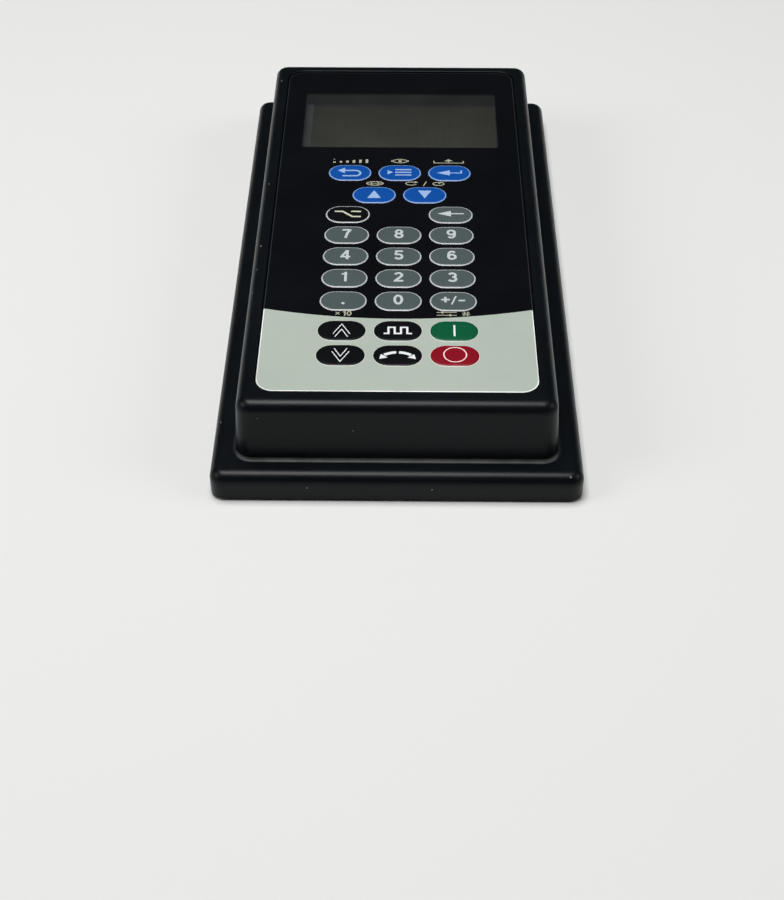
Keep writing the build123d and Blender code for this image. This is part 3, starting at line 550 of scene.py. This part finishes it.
legends.update({
    "key_escape": stroke([(-1.9, 0.95), (1.6, 0.95)] + arc(1.6, -0.45, 1.4, 1.4, 75, -90, 12) + [(-2.2, -1.85)], 0.6)
    + [[(-3.6, 0.95), (-1.5, 2.35), (-1.5, -0.45)]],
    "key_select": stroke([(-1.3, 1.5), (3.4, 1.5)], 0.6) + stroke([(-1.3, 0.1), (3.4, 0.1)], 0.6)
    + stroke([(-1.3, -1.3), (3.4, -1.3)], 0.6) + [[(-3.5, -1.0), (-3.5, 1.2), (-1.9, 0.1)]],
    "key_enter": moved([head], 0, -0.1) + stroke([(0.0, -0.1), (3.45, -0.1), (3.45, 1.3)], 0.42),
    "key_up": [[(0, 2.1), (-1.95, -1.8), (1.95, -1.8)]],
    "key_down": [[(0, -1.8), (1.95, 2.1), (-1.95, 2.1)]],
    "key_alternate": stroke([(-3.7, 1.25), (-1.5, 1.25), (1.3, -1.25), (3.7, -1.25)], 0.62)
    + stroke([(0.9, 1.25), (3.7, 1.25)], 0.62),
    "key_backspace": moved([head] + stroke([(0.0, 0.0), (3.7, 0.0)], 0.5), 0, 0.4),
    "key_point": [arc(0, -1.2, 0.42, 0.48, 0, 337.5, 15)],
    "key_sign": stroke([(-3.2, 0.55), (-0.9, 0.55)], 0.66) + stroke([(-2.05, 1.7), (-2.05, -0.6)], 0.66)
    + stroke([(0.75, 2.1), (-0.45, -1.5)], 0.45) + stroke([(1.4, 0.2), (3.1, 0.2)], 0.66),
    "key_faster": stroke([(-2.17, -1.55), (0, 2.45), (2.17, -1.55)], 0.25)
    + stroke([(-1.63, -2.75), (0, 0.35), (1.63, -2.75)], 0.25),
    "key_slower": stroke([(-2.17, 1.3), (0, -2.7), (2.17, 1.3)], 0.25)
    + stroke([(-1.63, 2.5), (0, -0.6), (1.63, 2.5)], 0.25),
    "key_jog": stroke([(-3.6, -1.3), (-2.4, -1.3), (-2.4, 1.2), (-0.8, 1.2), (-0.8, -1.3), (0.8, -1.3),
                       (0.8, 1.2), (2.4, 1.2), (2.4, -1.3), (3.6, -1.3)], 0.55),
    "key_start": stroke([(0.05, 2.25), (0.05, -2.3)], 0.5),
    "key_stop": ring(0.05, 0.25, 2.85, 2.85, 0.3, 48),
})
bow = stroke(arc(0, -4.3, 5.9, 5.9, 93, 124, 12), 0.95) + [[(-4.55, -1.0), (-4.15, 0.95), (-2.45, -0.4)]]
legends["key_reverse"] = moved(bow + [[(0.1 - px, py) for px, py in shape] for shape in bow], -0.05, -0.6)
print_white = colour_finish("print_white", (0.72, 0.75, 0.75, 1), tone=0.03)
print_grey = colour_finish("print_grey", (0.49, 0.53, 0.53, 1), tone=0.03)
print_blue = colour_finish("print_blue", (0.3, 0.43, 0.68, 1), tone=0.03)
print_yellow = colour_finish("print_yellow", (0.56, 0.56, 0.43, 1), tone=0.03)
print_rose = colour_finish("print_rose", (0.92, 0.66, 0.64, 1), tone=0.03)
legend_inks = {ink_blue: print_blue, ink_grey: print_grey, ink_green: print_white, ink_red: print_rose,
               ink_black: print_white}
for name, shapes in legends.items():
    legend = film(name + "_legend", moved(shapes, *key_places[name]), [], legend_low, legend_high,
                  [print_yellow if name == "key_alternate" else legend_inks[field_inks[name][2]]])
    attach(legend, name)

# Signs of the second functions: small pale yellow marks printed on the film above or below a key.
# They are plain signs again: rising bars, an eye, a tray, a globe, a turning arrow beside a hand's dial, numbers.
sign_line = 0.3
sign_height = 2.0
bar_step = 1.9


def sized(shapes, scale):
    """The same outlines, drawn smaller or larger."""
    return [[(point[0] * scale, point[1] * scale) for point in shape] for shape in shapes]


bars = []
for bar in range(6):
    foot = (bar - 2.5) * bar_step
    bars += stroke([(foot, -sign_height / 2), (foot, sign_height * (bar - 1.5) / 8)], 0.75)
eye = stroke(arc(0, -1.75, 3.0, 2.7, 148, 32, 14), sign_line) + stroke(arc(0, 1.75, 3.0, 2.7, -148, -32, 14), sign_line)
eye += [arc(0, 0, 0.55, 0.5, 0, 337.5, 15)]
tray = stroke([(-4.3, 0.2), (-4.3, -0.9), (4.3, -0.9), (4.3, 0.2)], sign_line) \
    + [[(0, 1.1), (-1.3, 0.1), (1.3, 0.1)]] + stroke([(0, 0.2), (0, -0.45)], 0.5)
globe = ring(0, 0, 2.4, 0.95, sign_line, 28) + ring(0, 0, 1.05, 0.95, 0.22, 24) + stroke([(-2.4, 0), (2.4, 0)], 0.22)
turning = stroke(arc(-3.9, 0, 1.6, 0.8, 60, 330, 20), sign_line) + [[(-2.9, 1.25), (-3.1, 0.2), (-1.9, 0.55)]] \
    + stroke([(0.45, 1.1), (-0.45, -1.1)], sign_line) \
    + ring(3.9, -0.1, 1.6, 0.8, sign_line, 24) + stroke([(3.9, -0.1), (4.9, 0.95)], sign_line)
times_ten = stroke([(-2.0, 0.55), (-1.0, -0.55)], 0.26) + stroke([(-2.0, -0.55), (-1.0, 0.55)], 0.26) \
    + moved(sized(digits["1"], 0.5), 0.25, 0) + moved(sized(digits["0"], 0.5), 1.5, 0)
hash_sign = [line for x in (-0.45, 0.45) for line in stroke([(x + 0.15, 0.95), (x - 0.15, -0.95)], 0.24)]
hash_sign += [line for y in (-0.35, 0.35) for line in stroke([(-1.0, y), (1.0, y)], 0.24)]
sliders = [line for y in (-0.6, 0.6) for line in stroke([(-2.6, y), (2.6, y)], 0.24)]
sliders += stroke([(-1.1, 1.0), (-1.1, 0.2)], 0.55) + stroke([(0.9, -0.2), (0.9, -1.0)], 0.55)
menu_sign_y = 26.7
arrow_sign_y = 14.9
lower_sign_y = -45.7
signs = moved(bars, -14.4, menu_sign_y) + moved(eye, 0.05, menu_sign_y) + moved(tray, 14.3, menu_sign_y)
signs += moved(globe, -7.1, arrow_sign_y) + moved(turning, 7.3, arrow_sign_y)
signs += moved(times_ten, -14.2, lower_sign_y) + moved(sliders, 12.6, lower_sign_y)
signs += moved(hash_sign, 17.6, lower_sign_y)
sign_yellow = colour_finish("sign_yellow", (0.4, 0.405, 0.3, 1), tone=0.03)
face_signs = film("face_signs", signs, [], film_top - print_depth, film_top, [sign_yellow])
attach(face_signs, "housing")

# Display window: a clear hard lens bonded behind the film's unprinted opening, level with the film.
# It is see-through in the shader, with a faint haze, so that light reaches the display below.
lens_glass = skinned("lens_glass", (0.037, 0.038, 0.039, 1), (0.2, 0.28), grain=1200.0, depth=0.001, gloss=0.3)
lens_tree = lens_glass.node_tree
lens_cloud = feed(lens_tree, "ShaderNodeTexNoise", object_place(lens_tree), Scale=60.0, Detail=4.0)
fill(lens_tree, lens_tree.nodes["Principled BSDF"].inputs["Alpha"],
     feed(lens_tree, "ShaderNodeMapRange", lens_cloud, To_Min=0.22, To_Max=0.34))
pane_thickness = 0.6
pane = film("window_pane", [window_hole], [], film_top - pane_thickness, film_top - print_depth / 2, [lens_glass])
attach(pane, "housing")
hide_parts("display_lens")

# Display: a liquid crystal glass, grey-green and blank, in a dark folded frame on a foam seal.
# Contact strips and a milky light guide lie below it. The glass's colour carries painted shade: darker towards its
# upper end, under the window's walls, and paler towards its lower end. It is also faintly streaked by its columns.
display_glass = skinned("display_glass", (0.055, 0.057, 0.036, 1), (0.3, 0.4), grain=900.0, depth=0.0, tone=0.08,
                        gloss=0.2)
crystal_low, crystal_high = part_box("display_glass")
crystal = display_glass.node_tree
crystal_place = object_place(crystal)
crystal_along = add_node(crystal, "ShaderNodeSeparateXYZ", crystal_place).outputs["Y"]
# Painted shade: darker towards the glass's upper end, paler towards its lower end
crystal_painted_shade = feed(crystal, "ShaderNodeMapRange", crystal_along, crystal_low.y, crystal_high.y, 1.3, 0.65)
crystal_stretch = feed(crystal, "ShaderNodeMapping", crystal_place, Scale=(1400.0, 30.0, 1.0))
crystal_streaks = feed(crystal, "ShaderNodeTexNoise", crystal_stretch, Scale=1.0, Detail=2.0)
crystal_columns = feed(crystal, "ShaderNodeMapRange", crystal_streaks, To_Min=0.8, To_Max=1.2)
crystal_painted_shade_and_streaks = feed(crystal, "ShaderNodeMath", crystal_painted_shade, crystal_columns, operation="MULTIPLY")
recolour(display_glass, 1.0, crystal_painted_shade_and_streaks, blend_type="MULTIPLY")
dress("display_glass", display_glass)
dress("display_bezel", skinned("bezel_steel", (0.075, 0.078, 0.09, 1), (0.35, 0.5), grain=3000.0, depth=0.004))
dress("display_seal", skinned("seal_foam", (0.02, 0.02, 0.024, 1), (0.8, 0.95), grain=1800.0, depth=0.05))
dress("contact_strips", skinned("strip_rubber", (0.35, 0.06, 0.05, 1), (0.5, 0.7), grain=2000.0))
dress("backlight", skinned("backlight_plastic", (0.75, 0.78, 0.72, 1), (0.25, 0.4), grain=1500.0, depth=0.004))

# Key mechanism under the film: a spacer with a pocket for each key, sprung steel domes, and the circuit film
# with its tail.
dress("key_spacer", skinned("spacer_film", (0.02, 0.02, 0.022, 1), (0.3, 0.4), grain=1500.0, depth=0.002))
dress("snap_domes", skinned("dome_steel", (0.62, 0.62, 0.63, 1), (0.2, 0.32), grain=2500.0, depth=0.002,
                            tone=0.1, metallic=1.0))
dress("switch_circuit", skinned("circuit_film", (0.04, 0.034, 0.022, 1), (0.3, 0.4), grain=1500.0, depth=0.004))

# Circuit board and what is soldered to it: green laminate, black moulded packages, plated cans and chips.
dress("main_board", skinned("board_laminate", (0.008, 0.11, 0.04, 1), (0.3, 0.45), grain=1400.0, depth=0.006))
chip_plastic = skinned("chip_plastic", (0.016, 0.016, 0.017, 1), (0.5, 0.65), grain=4200.0, depth=0.02)
for node_name in ("processor", "memory_chip", "link_chip", "regulator", "choke"):
    dress(node_name, chip_plastic)
can_metal = skinned("can_metal", (0.6, 0.6, 0.6, 1), (0.25, 0.4), grain=1800.0, depth=0.004, metallic=1.0)
for node_name in ("crystal", "capacitors", "board_screws"):
    dress(node_name, can_metal)
dress("chip_passives", skinned("passive_ceramic", (0.38, 0.27, 0.15, 1), (0.4, 0.55), grain=2200.0))
dress("tail_connector", skinned("connector_plastic", (0.6, 0.55, 0.38, 1), (0.4, 0.5), grain=2600.0))

# Cable socket: a black moulded block with a tinned sleeve, a keyed core and eight gold-plated contacts.
socket_plastic = skinned("socket_plastic", (0.013, 0.013, 0.014, 1), (0.35, 0.5), grain=4200.0, depth=0.01)
dress("socket_body", socket_plastic)
dress("socket_core", socket_plastic)
dress("socket_shield", skinned("socket_shell", (0.62, 0.62, 0.6, 1), (0.2, 0.34), grain=1500.0, depth=0.004,
                               metallic=1.0))
dress("socket_contacts", skinned("contact_brass", (0.83, 0.6, 0.24, 1), (0.18, 0.3), grain=1500.0, depth=0.002,
                                 metallic=1.0))

# Fixings in the back: four knurled brass inserts, pressed into the corner bosses, tapped for the panel's screws,
# and six countersunk cross-recessed screws of zinc-plated steel that hold the plate.
plate_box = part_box("plate_screws")
insert_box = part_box("threaded_inserts")
screw_head = 2.4 * mm
screw_shank = 1.2 * mm
screw_core = screw_shank - 0.28 * mm
screw_ridge = 0.26 * mm
screw_pitch = 1.0 * mm
screw_spacing = 24.0 * mm
screw_clearance = 0.3 * mm
recess_depth = 1.0 * mm
recess_inner = 0.46 * mm
recess_outer = 1.4 * mm
recess_taper = 0.55
core_overlap = 0.15 * mm
ridge_overlap = 0.1 * mm
cut_overlap = 0.05 * mm
insert_outer = 2.8 * mm
insert_bore = 2.0 * mm
insert_pitch = 0.7 * mm
insert_thread = 0.34 * mm
knurl_height = 0.2 * mm
knurl_width = 0.28 * mm
knurl_share = 0.8
knurl_count = 30
edge_radius = 0.15 * mm


def on_points(tree, start, end, pieces, material):
    """Ends a tree: the pieces are joined, set on the points of its input at random turns, and made one mesh."""
    join = tree.nodes.new("GeometryNodeJoinGeometry")
    for piece in pieces:
        tree.links.new(piece, join.inputs["Geometry"])
    turn = feed(tree, "FunctionNodeRandomValue", (0, 0, 0), (0, 0, 2 * pi), data_type="FLOAT_VECTOR", Seed=7)
    finished(tree, end, feed(tree, "GeometryNodeInstanceOnPoints", Points=start["Geometry"],
                             Instance=join.outputs["Geometry"], Rotation=turn), material)


def upright(tree, height, share=1.0, width=0.0):
    """A vector whose Z is a share of the height, and whose X and Y are the width."""
    rise = feed(tree, "ShaderNodeMath", height, share, operation="MULTIPLY")
    return feed(tree, "ShaderNodeCombineXYZ", width, width, rise)


def thread(tree, length, pitch, radius, depth, foot_z):
    """A helical ridge of the given length and pitch on the given radius."""
    turns = feed(tree, "ShaderNodeMath", length, pitch, operation="DIVIDE")
    spiral = feed(tree, "GeometryNodeCurveSpiral", Resolution=18, Rotations=turns, Start_Radius=radius,
                  End_Radius=radius, Height=length)
    ridge = feed(tree, "GeometryNodeCurvePrimitiveCircle", Resolution=4, Radius=depth)
    sweep = feed(tree, "GeometryNodeCurveToMesh", spiral, Profile_Curve=ridge, Fill_Caps=True)
    return feed(tree, "GeometryNodeTransform", sweep, Translation=(0, 0, foot_z))


screw_steel = skinned("screw_steel", (0.3, 0.31, 0.33, 1), (0.45, 0.62), grain=1800.0, depth=0.004, metallic=1.0)
tree, start, end, sockets = geometry_tree("plate_screw", ("Head", "Shank", "Length", "Pitch", "Recess"))
head_depth = screw_head - screw_shank
cone = feed(tree, "GeometryNodeMeshCone", Vertices=40, Depth=head_depth, Radius_Bottom=start["Head"],
            Radius_Top=start["Shank"])
driver_path = feed(tree, "GeometryNodeCurvePrimitiveLine", Start=(0, 0, -cut_overlap),
                   End=upright(tree, start["Recess"]))
driver_star = feed(tree, "GeometryNodeCurveStar", Points=4, Inner_Radius=recess_inner, Outer_Radius=recess_outer)
driver_along = feed(tree, "GeometryNodeSplineParameter")
driver_taper = feed(tree, "ShaderNodeMath", driver_along, -recess_taper, 1.0, operation="MULTIPLY_ADD")
driver_narrow = feed(tree, "GeometryNodeSetCurveRadius", driver_path, Radius=driver_taper)
driver = feed(tree, "GeometryNodeCurveToMesh", driver_narrow, Profile_Curve=driver_star, Fill_Caps=True)
head = feed(tree, "GeometryNodeMeshBoolean", operation="DIFFERENCE", Mesh_1=cone, Mesh_2=driver)
core = feed(tree, "GeometryNodeMeshCylinder", Vertices=24, Radius=screw_core, Depth=start["Length"])
core_middle = feed(tree, "ShaderNodeMath", start["Length"], 0.5, head_depth - core_overlap, operation="MULTIPLY_ADD")
shank = feed(tree, "GeometryNodeTransform", core, Translation=upright(tree, core_middle))
ridge = thread(tree, start["Length"], start["Pitch"], screw_core, screw_ridge, head_depth - ridge_overlap)
on_points(tree, start, end, [head, shank, ridge], screw_steel)
screw_x = plate_box[1].x - screw_head
screw_y = plate_box[1].y - screw_head
screw_places = [(x, y, plate_box[0].z) for x in (-screw_x, screw_x) for y in (-screw_spacing, screw_spacing)]
screw_places += [(0, -screw_y, plate_box[0].z), (0, screw_y, plate_box[0].z)]
plate_fixings = grown("cross_screws", screw_places, [], tree, {
    sockets["Head"]: screw_head, sockets["Shank"]: screw_shank, sockets["Pitch"]: screw_pitch,
    sockets["Length"]: plate_box[1].z - plate_box[0].z - head_depth - screw_clearance,
    sockets["Recess"]: recess_depth})
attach(plate_fixings, "housing")
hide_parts("plate_screws")

insert_brass = skinned("insert_brass", (0.68, 0.46, 0.17, 1), (0.28, 0.42), grain=1800.0, depth=0.01, metallic=1.0)
tree, start, end, sockets = geometry_tree("tapped_insert", ("Outer", "Bore", "Length", "Pitch"), ("Knurls",))
body = feed(tree, "ShaderNodeMath", start["Outer"], knurl_height, operation="SUBTRACT")
wall = feed(tree, "ShaderNodeMath", body, start["Bore"], operation="SUBTRACT")
wall_middle = feed(tree, "ShaderNodeMath", wall, 0.5, start["Bore"], operation="MULTIPLY_ADD")
tapped = feed(tree, "ShaderNodeMath", start["Length"], start["Pitch"], operation="SUBTRACT")
ring_path = feed(tree, "GeometryNodeCurvePrimitiveCircle", Resolution=48, Radius=wall_middle)
section = feed(tree, "GeometryNodeCurvePrimitiveQuadrilateral", Width=wall, Height=start["Length"])
soften = feed(tree, "GeometryNodeFilletCurve", section, Radius=edge_radius)
sweep = feed(tree, "GeometryNodeCurveToMesh", ring_path, Profile_Curve=soften)
half_up = upright(tree, start["Length"], 0.5)
sleeve = feed(tree, "GeometryNodeTransform", sweep, Translation=half_up)
ridge = thread(tree, tapped, start["Pitch"], start["Bore"], insert_thread, insert_thread)
band = feed(tree, "GeometryNodeCurvePrimitiveCircle", Resolution=start["Knurls"], Radius=body)
tooth = feed(tree, "GeometryNodeMeshCube", Size=upright(tree, start["Length"], knurl_share, knurl_width))
raised = feed(tree, "GeometryNodeTransform", tooth, Translation=half_up)
heading = feed(tree, "GeometryNodeInputPosition")
facing = feed(tree, "FunctionNodeAlignEulerToVector", axis="X", Vector=heading)
teeth = feed(tree, "GeometryNodeInstanceOnPoints", Points=band, Instance=raised, Rotation=facing)
on_points(tree, start, end, [sleeve, ridge, teeth], insert_brass)
insert_x = insert_box[1].x - insert_outer
insert_y = insert_box[1].y - insert_outer
insert_places = [(x, y, insert_box[0].z) for x in (-insert_x, insert_x) for y in (-insert_y, insert_y)]
inserts = grown("tapped_inserts", insert_places, [], tree, {
    sockets["Outer"]: insert_outer, sockets["Bore"]: insert_bore, sockets["Pitch"]: insert_pitch,
    sockets["Length"]: insert_box[1].z - insert_box[0].z, sockets["Knurls"]: knurl_count})
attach(inserts, "housing")
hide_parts("threaded_inserts")

# Floor, light and camera: a plain pale ground, large soft lights and the photograph's viewpoint.
# The camera stands where a fit to the keypad's own edges and keys puts it.
ground = bpy.data.materials.new("ground")
ground.use_nodes = True
paper = ground.node_tree
paper_shader = paper.nodes["Principled BSDF"]
fill(paper, paper_shader.inputs["Base Color"], (0.7, 0.7, 0.69, 1))
fill(paper, paper_shader.inputs["Roughness"], 0.8)
# Far from the keypad the floor turns up into the backdrop, as a studio's sweep of paper does
backdrop_colour = (0.80, 0.81, 0.82, 1)
sweep_from = 0.3
sweep_to = 1.0
sweep_reach = add_node(paper, "ShaderNodeVectorMath", object_place(paper), operation="LENGTH").outputs["Value"]
sweep_fade = feed(paper, "ShaderNodeMapRange", sweep_reach, sweep_from, sweep_to, interpolation_type="SMOOTHSTEP")
seen_directly = add_node(paper, "ShaderNodeLightPath").outputs["Is Camera Ray"]
sweep_share = feed(paper, "ShaderNodeMath", sweep_fade, seen_directly, operation="MULTIPLY")
sweep_light = feed(paper, "ShaderNodeEmission", backdrop_colour)
fill(paper, paper.nodes["Material Output"].inputs["Surface"],
     feed(paper, "ShaderNodeMixShader", sweep_share, paper_shader.outputs["BSDF"], sweep_light))
ground_reach = 4.0
ground_height = -0.1 * mm
ground_corners = [(x * ground_reach, y * ground_reach, ground_height) for x, y in ((-1, -1), (1, -1), (1, 1), (-1, 1))]
ground_mesh = bpy.data.meshes.new("floor")
ground_mesh.from_pydata(ground_corners, [], [(0, 1, 2, 3)])
ground_mesh.materials.append(ground)
floor = placed("floor", ground_mesh)


def soft_light(name, place, width, length, power):
    """A large rectangular light that faces the keypad."""
    light = bpy.data.lights.new(name, "AREA")
    light.shape = "RECTANGLE"
    light.size, light.size_y = width, length
    light.energy = power
    lamp = placed(name, light)
    lamp.location = place
    lamp.rotation_euler = (-Vector(place)).to_track_quat("-Z", "Y").to_euler()


soft_light("overhead", (-0.1, 0.0, 1.1), 0.62, 0.52, 12.5)
soft_light("left", (-1.1, -0.3, 0.75), 0.6, 0.6, 4.0)
soft_light("right", (1.1, -0.1, 0.75), 0.6, 0.6, 3.0)
surroundings = bpy.data.worlds.new("surroundings")
surroundings.use_nodes = True
room = surroundings.node_tree
backdrop = room.nodes["Background"]
fill(room, backdrop.inputs["Color"], backdrop_colour)
dim_room = feed(room, "ShaderNodeBackground", (0.9, 0.95, 1.0, 1), 0.045)
seen_directly = add_node(room, "ShaderNodeLightPath").outputs["Is Camera Ray"]
fill(room, room.nodes["World Output"].inputs["Surface"],
     feed(room, "ShaderNodeMixShader", seen_directly, dim_room, backdrop.outputs["Background"]))
bpy.context.scene.world = surroundings
bpy.context.scene.view_settings.view_transform = "Standard"

camera_place = Vector((1.702, -365.409, 273.962)) * mm
camera_turn = 0.558
camera_tilt = 47.043
camera_roll = 0.023
lens = bpy.data.cameras.new("camera")
lens.lens = 62.34
lens.sensor_width = 36.0
lens.clip_start = 0.01
camera = placed("camera", lens)
camera.matrix_world = Matrix.Translation(camera_place) @ Matrix.Rotation(radians(camera_turn), 4, "Z") \
    @ Matrix.Rotation(radians(camera_tilt), 4, "X") @ Matrix.Rotation(radians(camera_roll), 4, "Y")
bpy.context.scene.camera = camera
